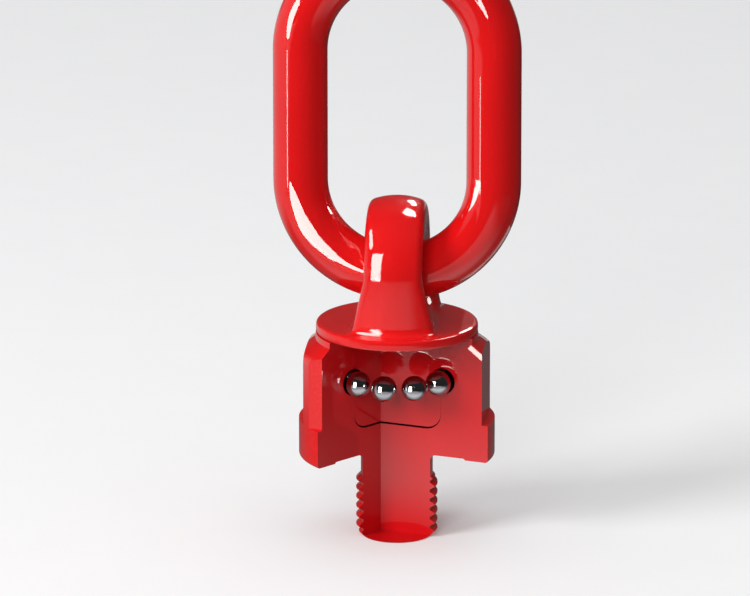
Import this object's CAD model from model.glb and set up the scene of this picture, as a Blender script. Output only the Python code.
"""Swivel hoist ring, with a wedge cut out at the front as on a display model.

The axis of the housing is Z. Its threaded stem points down and stands on the floor, the eye turns
on a row of balls in the blind bore, and the oval link stands above in the XZ plane. The front is
-Y and the right is +X. The wedge goes through the housing and the stem of the eye, so that the
balls and the bore can be seen. Sizes are in millimetres unless said otherwise.
"""
import math
from contextlib import contextmanager

import bmesh
import bpy
import numpy as np
from mathutils import Matrix, Vector


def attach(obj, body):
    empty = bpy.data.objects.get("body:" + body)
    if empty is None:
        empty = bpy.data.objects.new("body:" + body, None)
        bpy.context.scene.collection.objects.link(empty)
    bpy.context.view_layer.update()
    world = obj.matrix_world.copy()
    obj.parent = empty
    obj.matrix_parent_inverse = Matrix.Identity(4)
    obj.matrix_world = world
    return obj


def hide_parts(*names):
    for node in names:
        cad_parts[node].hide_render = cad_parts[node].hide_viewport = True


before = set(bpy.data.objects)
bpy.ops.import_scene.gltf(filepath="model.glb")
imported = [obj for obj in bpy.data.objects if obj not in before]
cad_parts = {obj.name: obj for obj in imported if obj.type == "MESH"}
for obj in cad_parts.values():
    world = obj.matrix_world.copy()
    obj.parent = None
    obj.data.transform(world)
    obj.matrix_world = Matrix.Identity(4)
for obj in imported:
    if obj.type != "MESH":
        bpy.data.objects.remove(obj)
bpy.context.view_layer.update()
scene = bpy.context.scene

MM = 0.001               # one millimetre, in metres
TURN = -3.4              # degrees the flats, the plug, the cut and the camera are turned about Z
BASE_Z = -31.0           # end of the stem, on the floor
BALL_Z = 29.3            # height of the row of balls
SEGMENTS = 480    # round the housing


def metres(point):
    return Vector([value * MM for value in point])


def compass(azimuth):
    """Unit vector in XY, azimuth in degrees from -Y towards +X."""
    angle = math.radians(azimuth)
    return Vector((math.sin(angle), -math.cos(angle), 0.0))


def heading(azimuth, elevation):
    """Unit vector, elevation in degrees above XY."""
    angle = math.radians(elevation)
    return compass(azimuth) * math.cos(angle) + Vector((0, 0, math.sin(angle)))


# ---------------------------------------------------------------------------- mesh helpers ----
def new_object(name, verts, faces, smooth=True):
    mesh = bpy.data.meshes.new(name)
    mesh.from_pydata([tuple(vert) for vert in verts], [], [tuple(face) for face in faces])
    mesh.update()
    obj = bpy.data.objects.new(name, mesh)
    scene.collection.objects.link(obj)
    if smooth:
        smooth_all(mesh)
    return obj


def smooth_all(mesh):
    mesh.polygons.foreach_set("use_smooth", [True] * len(mesh.polygons))


@contextmanager
def editing(obj):
    """The object's mesh as a bmesh, written back at the end."""
    edit = bmesh.new()
    edit.from_mesh(obj.data)
    yield edit
    edit.to_mesh(obj.data)
    edit.free()


def solid(name, verts, faces, smooth=True):
    """A new closed object with its normals outwards."""
    obj = new_object(name, verts, faces, smooth)
    with editing(obj) as edit:
        bmesh.ops.recalc_face_normals(edit, faces=edit.faces)
    obj.data.update()
    return obj


def lathe(name, profile, segments):
    """Closed (radius, z) profile turned about Z. Points on the axis become poles."""
    verts, rings = [], []
    for radius, z in profile:
        start = len(verts)
        if radius < 1e-6:
            verts.append((0, 0, z * MM))
        else:
            for i in range(segments):
                angle = 2 * math.pi * i / segments
                verts.append((radius * math.cos(angle) * MM, radius * math.sin(angle) * MM, z * MM))
        rings.append(list(range(start, len(verts))))
    faces = []
    for k, ring in enumerate(rings):
        after = rings[(k + 1) % len(rings)]
        if len(ring) == 1 and len(after) == 1:
            continue
        for i in range(segments):
            j = (i + 1) % segments
            if len(ring) == 1:
                faces.append((ring[0], after[j], after[i]))
            elif len(after) == 1:
                faces.append((ring[i], ring[j], after[0]))
            else:
                faces.append((ring[i], ring[j], after[j], after[i]))
    return solid(name, verts, faces)


def arc(centre_r, centre_z, radius, start, end, steps):
    """Points of an arc in the (radius, z) half plane, angles in degrees."""
    angles = [math.radians(start + (end - start) * i / steps) for i in range(steps + 1)]
    return [(centre_r + radius * math.cos(a), centre_z + radius * math.sin(a)) for a in angles]


def apply_modifiers(obj):
    bpy.context.view_layer.update()
    depsgraph = bpy.context.evaluated_depsgraph_get()
    mesh = bpy.data.meshes.new_from_object(obj.evaluated_get(depsgraph))
    obj.modifiers.clear()
    old = obj.data
    obj.data = mesh
    mesh.name = obj.name
    bpy.data.meshes.remove(old)


def cut(obj, tool):
    """Take the tool away from the object. Its material comes over with its faces."""
    mod = obj.modifiers.new("cut", "BOOLEAN")
    mod.operation = "DIFFERENCE"
    mod.solver = "EXACT"
    mod.object = tool
    mod.material_mode = "TRANSFER"
    apply_modifiers(obj)
    bpy.data.objects.remove(tool)


def tidy(obj, angle):
    """Weld, drop slivers, mark edges sharper than angle, and weight the normals by area."""
    with editing(obj) as edit:
        bmesh.ops.remove_doubles(edit, verts=edit.verts, dist=0.002 * MM)
        bmesh.ops.dissolve_degenerate(edit, dist=0.0005 * MM, edges=edit.edges)
    smooth_all(obj.data)
    obj.data.set_sharp_from_angle(angle=math.radians(angle))
    mod = obj.modifiers.new("shading", "WEIGHTED_NORMAL")
    mod.keep_sharp = True
    mod.weight = 90
    mod.mode = "FACE_AREA"
    obj.data.update()


def hand_over(obj, node):
    """Put the red piece in the place of its CAD node."""
    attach(obj, node)
    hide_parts(node)


# ------------------------------------------------------------------------------- materials ----
class Tree:
    """Shorthand over the node tree of a material or a world. A socket given as a value is linked."""

    def __init__(self, owner, output):
        owner.use_nodes = True
        self.owner = owner
        self.tree = owner.node_tree
        self.tree.nodes.clear()
        self.out = self.tree.nodes.new(output)

    def feed(self, socket, value):
        if hasattr(value, "is_output"):
            self.tree.links.new(value, socket)
        elif socket.type == "RGBA" and len(value) == 3:
            socket.default_value = (*value, 1)
        else:
            socket.default_value = value

    def node(self, kind, **inputs):
        """A node with its properties and inputs set. Underscores stand for spaces."""
        node = self.tree.nodes.new(kind)
        for key, value in inputs.items():
            if hasattr(node, key) and key not in node.inputs:
                setattr(node, key, value)
            else:
                self.feed(node.inputs[key.replace("_", " ")], value)
        return node

    def shader(self, kind, **inputs):
        return self.node(kind, **inputs).outputs[0]

    def finish(self, shader):
        self.feed(self.out.inputs["Surface"], shader)
        return self.owner

    def noise(self, where, scale, detail, roughness=0.5):
        node = self.node("ShaderNodeTexNoise", Vector=where, Scale=scale, Detail=detail,
                         Roughness=roughness)
        return node.outputs["Fac"]

    def bump(self, **inputs):
        return self.node("ShaderNodeBump", **inputs).outputs["Normal"]

    def mask(self, value, black, white):
        """Ramp from black to white between two values."""
        node = self.tree.nodes.new("ShaderNodeValToRGB")
        node.color_ramp.elements[0].position = black
        node.color_ramp.elements[1].position = white
        self.feed(node.inputs["Fac"], value)
        return node.outputs["Color"]

    def math(self, operation, *values):
        node = self.tree.nodes.new("ShaderNodeMath")
        node.operation = operation
        for i, value in enumerate(values if len(values) > 1 else (*values, 0.0)):
            self.feed(node.inputs[i], value)
        return node.outputs[0]

    def scale_add(self, value, factor, offset):
        return self.math("MULTIPLY_ADD", value, factor, offset)

    def mix(self, factor, first, second):
        """Mix of two colours. Sockets 0, 6 and 7 are the ones for colour."""
        node = self.tree.nodes.new("ShaderNodeMix")
        node.data_type = "RGBA"
        for i, value in ((0, factor), (6, first), (7, second)):
            self.feed(node.inputs[i], value)
        return node.outputs[2]

    def mix_shader(self, factor, first, second):
        node = self.tree.nodes.new("ShaderNodeMixShader")
        for i, value in enumerate((factor, first, second)):
            self.feed(node.inputs[i], value)
        return node.outputs[0]

    def add_shader(self, first, second):
        node = self.tree.nodes.new("ShaderNodeAddShader")
        self.feed(node.inputs[0], first)
        self.feed(node.inputs[1], second)
        return node.outputs[0]

    def component(self, vector, axis):
        return self.node("ShaderNodeSeparateXYZ", Vector=vector).outputs[axis]

    def span(self, value, start, end, low=0.0, high=1.0):
        """Smooth step from low at start to high at end."""
        return self.node("ShaderNodeMapRange", Value=value, interpolation_type="SMOOTHSTEP",
                         From_Min=start, From_Max=end, To_Min=low, To_Max=high).outputs[0]


def material_tree(name):
    return Tree(bpy.data.materials.new(name), "ShaderNodeOutputMaterial")


def paint(name, base, deep, rough=0.06, peel=0.010, grain=0.004, worn=True):
    """Glossy coat: slight orange peel, faint clouds from base to deep, paler specks on edges."""
    rub_share, rub_gain, rub_lift = 0.35, 1.35, 0.02     # strength and colour of the worn specks
    under_rough, coat_share = 0.34, 0.16     # added roughness of the base, share for the coat
    tree = material_tree(name)
    where = tree.node("ShaderNodeTexCoord").outputs["Object"]
    cloud = tree.noise(where, scale=26.0, detail=3.0, roughness=0.55)
    colour = tree.mix(tree.mask(cloud, black=0.35, white=0.7), base, deep)
    if worn:
        speck = tree.noise(where, scale=900.0, detail=2.0, roughness=0.6)
        pointiness = tree.node("ShaderNodeNewGeometry").outputs["Pointiness"]
        edge = tree.mask(pointiness, black=0.50, white=0.56)
        rub = tree.math("MULTIPLY", edge, tree.mask(speck, black=0.45, white=0.62))
        rubbed = tuple(min(1.0, value * rub_gain + rub_lift) for value in base)
        colour = tree.mix(tree.math("MULTIPLY", rub, rub_share), colour, rubbed)
    peel_noise = tree.noise(where, scale=330.0, detail=2.0)
    grain_noise = tree.noise(where, scale=2200.0, detail=1.0)
    peel_bump = tree.bump(Strength=peel, Distance=0.0006, Height=peel_noise)
    grain_bump = tree.bump(Strength=grain, Distance=0.0001, Height=grain_noise, Normal=peel_bump)
    roughness = tree.scale_add(cloud, factor=0.05, offset=rough)
    return tree.finish(tree.shader(
        "ShaderNodeBsdfPrincipled",
        Base_Color=colour,
        Metallic=0.0,
        Roughness=tree.math("ADD", roughness, under_rough),
        IOR=1.45,
        Specular_IOR_Level=0.12,
        Normal=grain_bump,
        Coat_Weight=1.0,
        Coat_Roughness=tree.math("MULTIPLY", roughness, coat_share),
        Coat_IOR=1.6,
        Coat_Normal=peel_bump,
    ))


def ball_steel(name):
    """Bright steel with faint smears."""
    tree = material_tree(name)
    where = tree.node("ShaderNodeTexCoord").outputs["Object"]
    fine = tree.noise(where, scale=1500.0, detail=3.0)
    smear = tree.noise(where, scale=240.0, detail=4.0, roughness=0.6)
    pale, dull = (0.46, 0.47, 0.49), (0.38, 0.39, 0.42)
    return tree.finish(tree.shader(
        "ShaderNodeBsdfPrincipled",
        Base_Color=tree.mix(tree.mask(smear, black=0.35, white=0.7), pale, dull),
        Metallic=1.0,
        Roughness=tree.scale_add(smear, factor=0.06, offset=0.04),
        Normal=tree.bump(Strength=0.01, Distance=0.0001, Height=fine),
    ))


def black_oxide(name):
    """Blackened steel, paler on its edges."""
    edge_share = 0.5
    dark, brown, bare = (0.030, 0.030, 0.033), (0.075, 0.073, 0.072), (0.35, 0.34, 0.33)
    tree = material_tree(name)
    where = tree.node("ShaderNodeTexCoord").outputs["Object"]
    cloud = tree.noise(where, scale=300.0, detail=4.0, roughness=0.6)
    fine = tree.noise(where, scale=2500.0, detail=2.0)
    colour = tree.mix(cloud, dark, brown)
    pointiness = tree.node("ShaderNodeNewGeometry").outputs["Pointiness"]
    edge = tree.mask(pointiness, black=0.52, white=0.6)
    return tree.finish(tree.shader(
        "ShaderNodeBsdfPrincipled",
        Base_Color=tree.mix(tree.math("MULTIPLY", edge, edge_share), colour, bare),
        Metallic=0.85,
        Roughness=tree.scale_add(cloud, factor=0.2, offset=0.28),
        Normal=tree.bump(Strength=0.08, Distance=0.0002, Height=fine),
    ))


RED = paint("red_paint", base=(0.74, 0.006, 0.007), deep=(0.68, 0.005, 0.006))
CUT = paint("cut_face", base=(0.66, 0.006, 0.009), deep=(0.61, 0.005, 0.008),
            rough=0.02, peel=0.0, grain=0.0, worn=False)
DARK = paint("bore_face", base=(0.10, 0.006, 0.007), deep=(0.07, 0.005, 0.006),
             rough=0.15, worn=False)
STEEL = ball_steel("ball_steel")
PLUG = black_oxide("plug_steel")

# ----------------------------------------------------------------------------------- wedge ----
APEX_X, APEX_Y = -6.10, 1.925
CUT_LEFT, CUT_RIGHT = -36.0 + TURN, 75.3 + TURN      # azimuths of the cut faces
CUT_LOW, CUT_HIGH = -30.7, 46.82
CUT_REACH = 90.0


def wedge(name):
    """The upright fan that is cut out, closed by two flat ends."""
    outline = [(APEX_X, APEX_Y)]
    for azimuth in np.linspace(CUT_LEFT, CUT_RIGHT, 7):
        out = compass(float(azimuth))
        outline.append((APEX_X + out.x * CUT_REACH, APEX_Y + out.y * CUT_REACH))
    count = len(outline)
    verts = [(x * MM, y * MM, z * MM) for z in (CUT_LOW, CUT_HIGH) for x, y in outline]
    faces = [tuple(range(count))[::-1], tuple(range(count, 2 * count))]
    faces += [(i, (i + 1) % count, (i + 1) % count + count, i + count) for i in range(count)]
    obj = solid(name, verts, faces, smooth=False)
    obj.data.materials.append(CUT)
    return obj


# --------------------------------------------------------------------------------- housing ----
STEM_R, NECK_R, NECK_FILLET = 15.0, 13.25, 2.2
STEM_EDGE_R, STEM_EDGE_ROUND = 12.55, 0.25
BODY_R, BODY_ROUND = 36.0, 1.0
RECESS_Z = 0.6           # underside between the neck and the foot of the body
COLLAR_R, COLLAR_ROUND, TOP_Z = 29.8, 0.35, 46.6
BORE_R, BORE_FILLET, BORE_FLOOR = 17.5, 6.0, 10.5
RACE_R, BALL_CIRCLE_R = 4.9, 18.0

HEX_FLATS, HEX_OUTSIDE = 65.0, 60.0      # across the flats, and half across the tool's outside
HEX_LOW, HEX_HIGH = 14.0, 60.0

THREAD_ROOT_R, THREAD_OUTSIDE_R, THREAD_PITCH = 13.05, 15.12, 3.5
THREAD_LOW, THREAD_HIGH = -34.0, -8.4
THREAD_FLAT = THREAD_PITCH / 16 + 0.19   # half the width of the groove's floor
TAN_FLANK = 0.57735                      # flanks at 30 degrees
RUNOUT_TURN, RUNOUT_LIFT = 0.45, 2.2     # part of the last turn, and how far it is drawn out

HOLE_R, HOLE_START, HOLE_LENGTH, HOLE_AZIMUTH = 6.0, 20, 30.0, 150.0 + TURN
INSIDE_R, INSIDE_LOW, INSIDE_HIGH = 23.2, 10.3, 46.0     # faces in here are dark


def housing_profile():
    """(radius, z), from the axis at the foot of the stem, round the outside, down the bore."""
    profile = [(0, BASE_Z), (STEM_EDGE_R, BASE_Z)]
    profile += arc(STEM_EDGE_R, BASE_Z + STEM_EDGE_ROUND, STEM_EDGE_ROUND, -90, -45, 3)[1:]
    profile += [(14.9, -28.78), (STEM_R, -28.55), (STEM_R, -9.35), (NECK_R, -7.6)]
    profile += arc(NECK_R + NECK_FILLET, RECESS_Z - NECK_FILLET, NECK_FILLET, 180, 90, 8)
    # edge of the recess and the foot of the body
    profile += [(26.4, RECESS_Z), (26.75, 0.45), (26.95, 0.12), (27.25, 0.0)]
    profile += arc(BODY_R - BODY_ROUND, BODY_ROUND, BODY_ROUND, -90, 0, 6)
    # rounded shoulder, cone and collar
    profile += [(BODY_R, 37.2), (35.93, 38.4), (35.60, 39.40), (35.05, 40.2), (34.3, 40.9)]
    profile += [(30.15, 44.03), (29.88, 44.3), (COLLAR_R, 44.65)]
    profile += arc(COLLAR_R - COLLAR_ROUND, TOP_Z - COLLAR_ROUND, COLLAR_ROUND, 0, 90, 4)
    # mouth of the bore, ball race and floor of the bore
    profile += [(18.3, TOP_Z), (BORE_R, 45.8)]
    race_end = math.degrees(math.acos((BORE_R - BALL_CIRCLE_R) / RACE_R))
    profile += arc(BALL_CIRCLE_R, BALL_Z, RACE_R, race_end, -race_end, 40)
    profile += arc(BORE_R - BORE_FILLET, BORE_FLOOR + BORE_FILLET, BORE_FILLET, 0, -90, 16)
    return profile + [(0, BORE_FLOOR)]


def hex_ring():
    """What lies outside the hexagon, as a closed ring."""
    verts, faces = [], []
    for z in (HEX_LOW, HEX_HIGH):
        for half_flats in (HEX_FLATS / 2, HEX_OUTSIDE):
            for k in range(6):
                angle = math.radians(30 + TURN + 60 * k)
                radius = half_flats / math.cos(math.radians(30))
                verts.append((radius * math.cos(angle) * MM, radius * math.sin(angle) * MM, z * MM))
    for k in range(6):
        j = (k + 1) % 6
        faces += [
            (k, j, j + 6, k + 6),
            (k + 12, k + 18, j + 18, j + 12),
            (k, k + 12, j + 12, j),
            (k + 6, j + 6, j + 18, k + 18),
        ]
    return solid("hex", verts, faces, smooth=False)


def thread_groove(per_turn):
    """The groove as a closed helical bar, drawn out of the work over its last part turn."""
    steps = int((THREAD_HIGH - THREAD_LOW) / THREAD_PITCH * per_turn)
    runout = per_turn * RUNOUT_TURN
    rise = (THREAD_OUTSIDE_R - THREAD_ROOT_R) * TAN_FLANK
    section = (
        (THREAD_ROOT_R, -THREAD_FLAT),
        (THREAD_OUTSIDE_R, -THREAD_FLAT - rise),
        (THREAD_OUTSIDE_R, THREAD_FLAT + rise),
        (THREAD_ROOT_R, THREAD_FLAT),
    )
    verts, faces = [], []
    for i in range(steps + 1):
        angle = 2 * math.pi * i / per_turn
        z = THREAD_LOW + THREAD_PITCH * i / per_turn
        lift = max(0.0, (i - (steps - runout)) / runout) ** 2 * RUNOUT_LIFT
        for corner_r, height in section:
            radius = corner_r + lift
            verts.append((radius * math.cos(angle) * MM, radius * math.sin(angle) * MM,
                          (z + height) * MM))
    for i in range(0, 4 * steps, 4):
        for k in range(4):
            j = (k + 1) % 4
            faces.append((i + k, i + j, i + 4 + j, i + 4 + k))
    faces += [(3, 2, 1, 0), tuple(4 * steps + k for k in range(4))]
    return solid("thread", verts, faces)


def filling_hole():
    """Round tool at the height of the balls, square to the flat it opens on."""
    obj = lathe("hole", [(0, 0), (HOLE_R, 0), (HOLE_R, HOLE_LENGTH), (0, HOLE_LENGTH)], 96)
    out = compass(HOLE_AZIMUTH)
    place = Matrix.Translation(out * HOLE_START * MM + Vector((0, 0, BALL_Z * MM)))
    obj.data.transform(place @ out.to_track_quat("Z", "Y").to_matrix().to_4x4())
    return obj


def darken_bore(obj):
    """Give the faces of the bore the dark material, all but the cut faces."""
    materials = obj.data.materials
    materials.append(DARK)
    dark_index = len(materials) - 1
    for face in obj.data.polygons:
        centre = face.center / MM
        inside = centre.xy.length < INSIDE_R and INSIDE_LOW < centre.z < INSIDE_HIGH
        if inside and materials[face.material_index] is not CUT:
            face.material_index = dark_index


def build_housing():
    obj = lathe("housing_body", housing_profile(), SEGMENTS)
    obj.data.materials.append(RED)
    cut(obj, hex_ring())
    cut(obj, thread_groove(SEGMENTS // 3))
    cut(obj, filling_hole())
    cut(obj, wedge("wedge_a"))
    tidy(obj, angle=32.0)
    darken_bore(obj)
    hand_over(obj, "housing")
    return obj


housing = build_housing()


# ------------------------------------------------------------------------------ swivel eye ----
def build_eye():
    """The CAD eye with its edges softened like a forging, cut by the wedge."""
    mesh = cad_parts["swivel_eye"].data.copy()
    obj = bpy.data.objects.new("swivel_eye_forging", mesh)
    obj.data.materials.clear()
    scene.collection.objects.link(obj)
    with editing(obj) as edit:
        bmesh.ops.remove_doubles(edit, verts=edit.verts, dist=1e-6)
    voxels = obj.modifiers.new("remesh", "REMESH")
    voxels.mode = "VOXEL"
    voxels.voxel_size = 0.4 * MM
    voxels.adaptivity = 0.0
    soften = obj.modifiers.new("smooth", "SMOOTH")
    soften.factor = 0.5
    soften.iterations = 8
    apply_modifiers(obj)
    obj.data.materials.clear()
    obj.data.materials.append(RED)
    cut(obj, wedge("wedge_b"))
    tidy(obj, angle=40)
    hand_over(obj, "swivel_eye")
    return obj


eye = build_eye()

# ------------------------------------------------------------------------------------ link ----
BAR_R, BEND_R = 10.0, 35.3
BEND_Z, STRAIGHT = 103.9, 48.0           # centre of the lower bend, length of the straight sides
BAR_STEPS, BEND_STEPS, SIDE_STEPS = 96, 160, 24


def build_link():
    """Round bar along an oval: lower bend, right side up, upper bend, left side down."""
    path = []                            # x, z, angle of the outward direction
    for start, centre_z, way in ((math.pi, BEND_Z, 1), (0.0, BEND_Z + STRAIGHT, -1)):
        for i in range(BEND_STEPS):
            angle = start + math.pi * i / BEND_STEPS
            path.append((BEND_R * math.cos(angle), centre_z + BEND_R * math.sin(angle), angle))
        for i in range(SIDE_STEPS):
            z = centre_z + way * STRAIGHT * i / SIDE_STEPS
            path.append((way * BEND_R, z, start + math.pi))
    verts, faces = [], []
    for x, z, angle in path:
        for k in range(BAR_STEPS):
            turn = 2 * math.pi * k / BAR_STEPS
            out, y = math.cos(turn) * BAR_R, math.sin(turn) * BAR_R
            verts.append(((x + math.cos(angle) * out) * MM, y * MM,
                          (z + math.sin(angle) * out) * MM))
    for i in range(len(path)):
        here, after = i * BAR_STEPS, (i + 1) % len(path) * BAR_STEPS
        for k in range(BAR_STEPS):
            j = (k + 1) % BAR_STEPS
            faces.append((here + k, here + j, after + j, after + k))
    obj = solid("oval_link_bar", verts, faces)
    obj.data.materials.append(RED)
    hand_over(obj, "oval_link")
    return obj


link = build_link()

# -------------------------------------------------------------------------- balls and plug ----
balls = [obj for name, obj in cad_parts.items() if name.startswith("ball_")]
for ball in balls:
    ball.data.materials.clear()
    ball.data.materials.append(STEEL)
if "filler_plug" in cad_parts:
    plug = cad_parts["filler_plug"]
    plug.data.materials.clear()
    plug.data.materials.append(PLUG)


# ----------------------------------------------------------------------------------- floor ----
def floor_gloss(tree, where):
    """Glow seen by gloss, lengths in metres: pale on the left, dim to the right and behind."""
    back_slant = -0.55                   # how far the pale left side leans with y
    pale_level, base_level = 0.55, 0.025
    x = tree.component(where, "X")
    y = tree.component(where, "Y")
    squares = tree.math("ADD", tree.math("MULTIPLY", x, x), tree.math("MULTIPLY", y, y))
    radius = tree.math("SQRT", squares)
    near = tree.span(radius, start=0.36, end=0.45, low=1.0, high=0.0)
    slanted = tree.math("ADD", x, tree.math("MULTIPLY", y, back_slant))
    left = tree.span(slanted, start=-0.16, end=-0.34)
    around = tree.math("MULTIPLY",
                       tree.span(x, start=0.11, end=0.22, low=1.0, high=0.12),
                       tree.span(y, start=-0.06, end=0.0, low=1.0, high=0.14))
    level = tree.math("MAXIMUM", tree.math("MULTIPLY", near, around), left)
    level = tree.math("MULTIPLY", level, pale_level)
    foot = tree.span(radius, start=0.17, end=0.07, low=0.0, high=0.5)
    level = tree.math("ADD", level, tree.math("MULTIPLY", foot, around))
    return tree.shader("ShaderNodeEmission", Color=(1.0, 0.97, 0.97),
                       Strength=tree.math("ADD", level, base_level))


def floor_material(name):
    """Pale to the camera, with its own glow for gloss and for the light thrown back."""
    tree = material_tree(name)
    rays = tree.node("ShaderNodeLightPath").outputs
    where = tree.node("ShaderNodeNewGeometry").outputs["Position"]
    grain = tree.noise(where, scale=35.0, detail=3.0)
    pale = tree.mix(grain, (0.865, 0.865, 0.87), (0.89, 0.89, 0.89))
    surface = tree.shader("ShaderNodeBsdfPrincipled", Base_Color=pale, Roughness=0.7,
                          Specular_IOR_Level=0.1)
    own = tree.shader("ShaderNodeEmission", Color=(1.0, 1.0, 1.0),
                      Strength=tree.scale_add(rays["Is Camera Ray"], factor=0.06, offset=0.04))
    seen = tree.add_shader(surface, own)
    gloss = floor_gloss(tree, where)
    bounce = tree.shader("ShaderNodeEmission", Color=(1.0, 0.97, 0.96), Strength=0.46)
    seen = tree.mix_shader(rays["Is Glossy Ray"], seen, gloss)
    return tree.finish(tree.mix_shader(rays["Is Diffuse Ray"], seen, bounce))


FLOOR_HALF = 3           # metres
floor = new_object(
    "floor",
    [(x * FLOOR_HALF, y * FLOOR_HALF, BASE_Z * MM) for x, y in ((-1, -1), (1, -1), (1, 1), (-1, 1))],
    [(0, 1, 2, 3)],
    smooth=False,
)
floor.data.materials.append(floor_material("floor"))

# ------------------------------------------------------------------------------ gloss cards ----
# A zone is a list of half planes (a, b, c): the card is seen only from where a x + b z < c.
WARM = (1.0, 0.97, 0.92)
LEFT, RIGHT = (1, 0, 0), (-1, 0, 0)      # either side of x = 0


def below(z):
    return (0, 1, z)


def above(z):
    return (0, -1, -z)


def receivers(name, objs):
    group = bpy.data.collections.new(name)
    for obj in objs:
        group.objects.link(obj)
    return group


RECEIVERS = {
    "link": receivers("on_link", [link]),
    "eye": receivers("on_eye", [eye]),
    "balls": receivers("on_balls", balls),
    "housing": receivers("on_housing", [housing]),
}


def glow_material(name, strength, zone):
    tree = material_tree(name)
    if zone:
        # go back along the ray to the point that sees the card
        hit = tree.node("ShaderNodeNewGeometry").outputs
        length = tree.node("ShaderNodeLightPath").outputs["Ray Length"]
        back = tree.node("ShaderNodeVectorMath", operation="SCALE", Vector=hit["Incoming"],
                         Scale=length)
        start = tree.node("ShaderNodeVectorMath", operation="ADD", Vector=hit["Position"])
        tree.feed(start.inputs[1], back.outputs[0])
        x = tree.component(start.outputs[0], "X")
        z = tree.component(start.outputs[0], "Z")
        for x_part, z_part, limit in zone:
            side = tree.math("ADD", tree.math("MULTIPLY", x, x_part / MM),
                             tree.math("MULTIPLY", z, z_part / MM))
            strength = tree.math("MULTIPLY", tree.math("LESS_THAN", side, limit), strength)
    glow = tree.shader("ShaderNodeEmission", Color=WARM, Strength=strength)
    # clear as well as bright, so that a card hides nothing from the pieces it isn't meant for
    material = tree.finish(tree.add_shader(glow, tree.shader("ShaderNodeBsdfTransparent")))
    material.cycles.emission_sampling = "NONE"
    return material


def add_card(name, corners, on, strength, zone):
    """A bright card that only the gloss of the named pieces sees."""
    obj = new_object(name, corners, [tuple(range(len(corners)))], smooth=False)
    obj.data.materials.append(glow_material(obj.name, strength, zone))
    for kind in ("camera", "diffuse", "transmission", "volume_scatter", "shadow"):
        setattr(obj, "visible_" + kind, False)
    obj.light_linking.receiver_collection = RECEIVERS[on]


def bar_card(name, distance, zone):
    """An upright strip to the left of the front, facing the axis."""
    azimuth, centre_z, half_width, half_height = -53.9, 16, 12, 46
    normal = compass(azimuth).normalized()
    across = Vector((0, 0, 1)).cross(normal).normalized()
    centre = metres(Vector((0, 0, centre_z)) + compass(azimuth) * distance)
    wide = across * (half_width * MM)
    high = normal.cross(across) * (half_height * MM)
    corners = [centre - wide - high, centre + wide - high, centre + wide + high,
               centre - wide + high]
    add_card(name, corners, "link", 13.0, zone)


def card(name, on, strength, outline, zone=(), distance=1500.0, target=(0, 0, 80)):
    """A flat card cut to an outline of (azimuth, elevation) corners, seen from the target."""
    rays = [heading(azimuth, elevation) for azimuth, elevation in outline]
    middle = sum(rays, Vector((0, 0, 0))).normalized()
    corners = [metres(target) + ray * (distance * MM / ray.dot(middle)) for ray in rays]
    add_card(name, corners, on, strength, zone)


# long lights along the link
bar_card("card_bar_l", distance=480, zone=[LEFT])
bar_card("card_bar_r", distance=484, zone=[RIGHT, above(104), below(145)])

# the left of the lower bend, in three bands
LOW_TARGET = (-28, -8, 88)
LOW_EDGE = [(-46.5, -15), (-45, -24), (-46, -31), (-37, -34), (-15, -30.5), (0, -18)]
LOW_FULL = [(-44, -6), *LOW_EDGE, (10, -10), (12, -6)]
LOW_HOLLOW = [(-44, -8.5), *LOW_EDGE, (10, -5), (11, -2), (3, -7), (-5, -11), (-12, -11.9),
              (-19, -12.8), (-30, -11.5)]
card("card_low_a", "link", strength=16.0, outline=LOW_FULL, distance=190, target=LOW_TARGET,
     zone=[LEFT, below(104.5), above(93), (2.27, 1, 18.3)])
card("card_low_b", "link", strength=16.0, outline=LOW_FULL, distance=193, target=LOW_TARGET,
     zone=[LEFT, below(93), above(84.5), (1.55, 1, 41.7)])
card("card_low_c", "link", strength=16.0, outline=LOW_HOLLOW, distance=196, target=LOW_TARGET,
     zone=[LEFT, below(84.5)])
card("card_tail", "link", strength=16.0, zone=[RIGHT, below(106.3)],
     distance=400, target=(28, -8, 105),
     outline=[(-53, -11.5), (-53, -15.3), (-70, -15.3), (-83, -14), (-89, -8), (-95, -2),
              (-102, 6), (-91, 5), (-74, -2.5), (-65, -9), (-59, -13), (-57, -11.5)])

# the upper bend, and the inner side and rim of the link
card("card_bend_l", "link", strength=16.0, zone=[LEFT, above(152)],
     outline=[(-46.5, -11), (-50, 11), (-56, 14.5), (-63, 16), (-70, 16.5), (-73, 14), (-73, 8),
              (-66, 1), (-60, -3), (-53, -5), (-49, -8), (-48, -11)])
card("card_bend_r", "link", strength=16.0, zone=[RIGHT, above(152)],
     outline=[(-10, -12.9), (0, -9.9), (4, -8), (9, -5), (15, -2), (20, 4), (23, 9), (17, 6),
              (11, 0), (6, -3), (0, -8), (-10, -11.7)])
card("card_inner_a", "link", strength=15.0, zone=[LEFT],
     outline=[(104, 12), (106, 8), (113, 8), (121, 18), (136, 27), (149, 30), (137, 38),
              (121, 34), (113, 31), (107, 20)])
card("card_inner_b", "link", strength=13.0, zone=[LEFT],
     outline=[(92, 38), (97, 36), (107, 45), (108, 52), (99, 54), (92, 48)])
card("card_rim", "link", strength=0.9, zone=[RIGHT, below(96)], distance=110, target=(32, -5, 76),
     outline=[(128, -24), (150, -20), (147, -31), (146, -42), (160, -46), (158, -54),
              (144, -66), (136, -62), (130, -48), (127, -34)])

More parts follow.
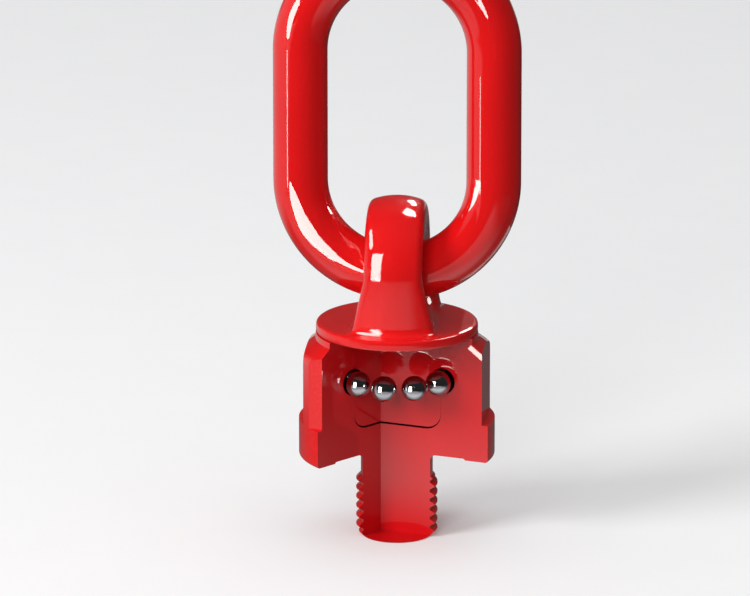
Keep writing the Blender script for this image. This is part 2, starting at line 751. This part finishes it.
# the front leg, side and top of the eye, its foot, hind leg and flange
card("card_leg", "eye", strength=16.0, zone=[above(52)], distance=300, target=(-5, -23, 76),
     outline=[(-40, 26), (-37, 1), (-38, -15.5), (-22, -15.5), (-20, 29)])
card("card_side", "eye", strength=14.0, zone=[LEFT, below(92), above(52)],
     distance=600, target=(-8, -19, 86),
     outline=[(-84, 51), (-87, 41), (-73, 42), (-55, 30), (-45, 30), (-45, 38), (-61, 51),
              (-77, 56)])
card("card_top_a", "eye", strength=16.0, zone=[above(85)],
     outline=[(169, 56), (168, 70), (140, 73), (114, 72), (115, 60), (127, 64), (150, 57),
              (161, 55)])
card("card_top_b", "eye", strength=16.0, zone=[above(85)],
     outline=[(177, 31), (168, 44), (165, 39), (171, 30), (175, 24)])
card("card_foot", "eye", strength=13.0, zone=[below(56), above(50.95)],
     outline=[(-66, 36), (-38, 33), (-26, 24), (-24, 39), (-49, 71), (-90, 64), (-86, 46)])
card("card_hind", "eye", strength=12.0, zone=[below(70), above(50), (-1, 0, -5)],
     outline=[(84, 58), (120, 58), (137, 51), (140, 45), (124, 39), (104, 41), (90, 45)])
card("card_flange", "eye", strength=12.0, zone=[below(52), above(46.7), (-1, 0, -24)],
     outline=[(149, 22), (178, 22), (178, 36), (149, 36)])

# the bright edge by the cone of the housing, and the balls
card("card_cone", "housing", strength=15.0, distance=140, target=(30, -10, 41),
     zone=[(0.62, 0.785, 51.9), (-0.62, -0.785, -50.1), (0.785, -0.62, 1.2), (-0.785, 0.62, 5.6)],
     outline=[(-52, -6), (-52, -27), (-26, -27), (-26, -6)])
card("card_balls", "balls", strength=16.0, distance=240, target=(0, -15, 30),
     outline=[(-45, 28), (-45, -14), (-21, -14), (-21, 28)])


# ------------------------------------------------------------------------------ soft lights ----
def look_at(obj, target):
    obj.rotation_euler = (target - obj.location).to_track_quat("-Z", "Y").to_euler()


def softbox(name, azimuth, elevation, power):
    """A large soft light for the colour of the object. It leaves no reflection."""
    distance, side, target = 3000, 1200, metres((0, 0, 60))
    data = bpy.data.lights.new(name, "AREA")
    data.shape = "RECTANGLE"
    data.size = data.size_y = side * MM
    data.energy = power
    obj = bpy.data.objects.new(name, data)
    scene.collection.objects.link(obj)
    obj.location = target + heading(azimuth, elevation) * distance * MM
    look_at(obj, target)
    obj.visible_camera = False
    obj.visible_glossy = False


softbox("key", azimuth=-54, elevation=26, power=58.0)
softbox("fill", azimuth=-10, elevation=22, power=34.0)


# ----------------------------------------------------------------------------------- world ----
def build_world():
    """Even pale to the camera, a dark studio to gloss, light from above to the rest."""
    left_level, back_level, base_level = 0.50, 0.03, 0.035   # what gloss sees
    degrees = 180 / math.pi
    world = bpy.data.worlds.new("studio")
    scene.world = world
    tree = Tree(world, "ShaderNodeOutputWorld")
    rays = tree.node("ShaderNodeLightPath").outputs
    ray = tree.node("ShaderNodeTexCoord").outputs["Generated"]
    x, y, z = [tree.component(ray, axis) for axis in "XYZ"]
    azimuth = tree.math("ARCTAN2", x, tree.math("MULTIPLY", y, -1.0))
    azimuth = tree.math("MULTIPLY", azimuth, degrees)
    elevation = tree.math("MULTIPLY", tree.math("ARCSINE", z), degrees)
    left = tree.math("MULTIPLY", tree.span(azimuth, start=-59, end=-69),
                     tree.span(azimuth, start=-145, end=-125))
    left = tree.math("MULTIPLY", left, tree.span(elevation, start=34, end=6))
    back = tree.math("MULTIPLY", tree.span(tree.math("ABSOLUTE", azimuth), start=140, end=160),
                     tree.span(elevation, start=72, end=50))
    level = tree.math("ADD", tree.math("MULTIPLY", left, left_level),
                      tree.math("MULTIPLY", back, back_level))
    level = tree.math("ADD", level, base_level)
    overhead = tree.scale_add(tree.span(elevation, start=25, end=55), factor=0.85, offset=0.06)
    gloss = tree.shader("ShaderNodeBackground", Color=(1.0, 0.98, 0.98), Strength=level)
    soft = tree.shader("ShaderNodeBackground", Color=(0.98, 0.99, 1.0), Strength=overhead)
    pale = tree.shader("ShaderNodeBackground", Color=(0.86, 0.86, 0.87), Strength=1.0)
    unseen = tree.mix_shader(rays["Is Glossy Ray"], soft, gloss)
    tree.finish(tree.mix_shader(rays["Is Camera Ray"], unseen, pale))


build_world()

# ---------------------------------------------------------------------------------- camera ----
CAMERA_TARGET = metres((-8.022, -0.645, 58.96))
CAMERA_AZIMUTH, CAMERA_ELEVATION = 8.0 + TURN, 15.5
CAMERA_DISTANCE = 2.745  # metres

camera_data = bpy.data.cameras.new("camera")
camera_data.sensor_width = 36.0
camera_data.lens = 360.0
camera = bpy.data.objects.new("camera", camera_data)
scene.collection.objects.link(camera)
camera.location = CAMERA_TARGET + heading(CAMERA_AZIMUTH, CAMERA_ELEVATION) * CAMERA_DISTANCE
look_at(camera, CAMERA_TARGET)
scene.camera = camera

scene.view_settings.view_transform = "Standard"
scene.view_settings.look = "None"
scene.cycles.use_denoising = True
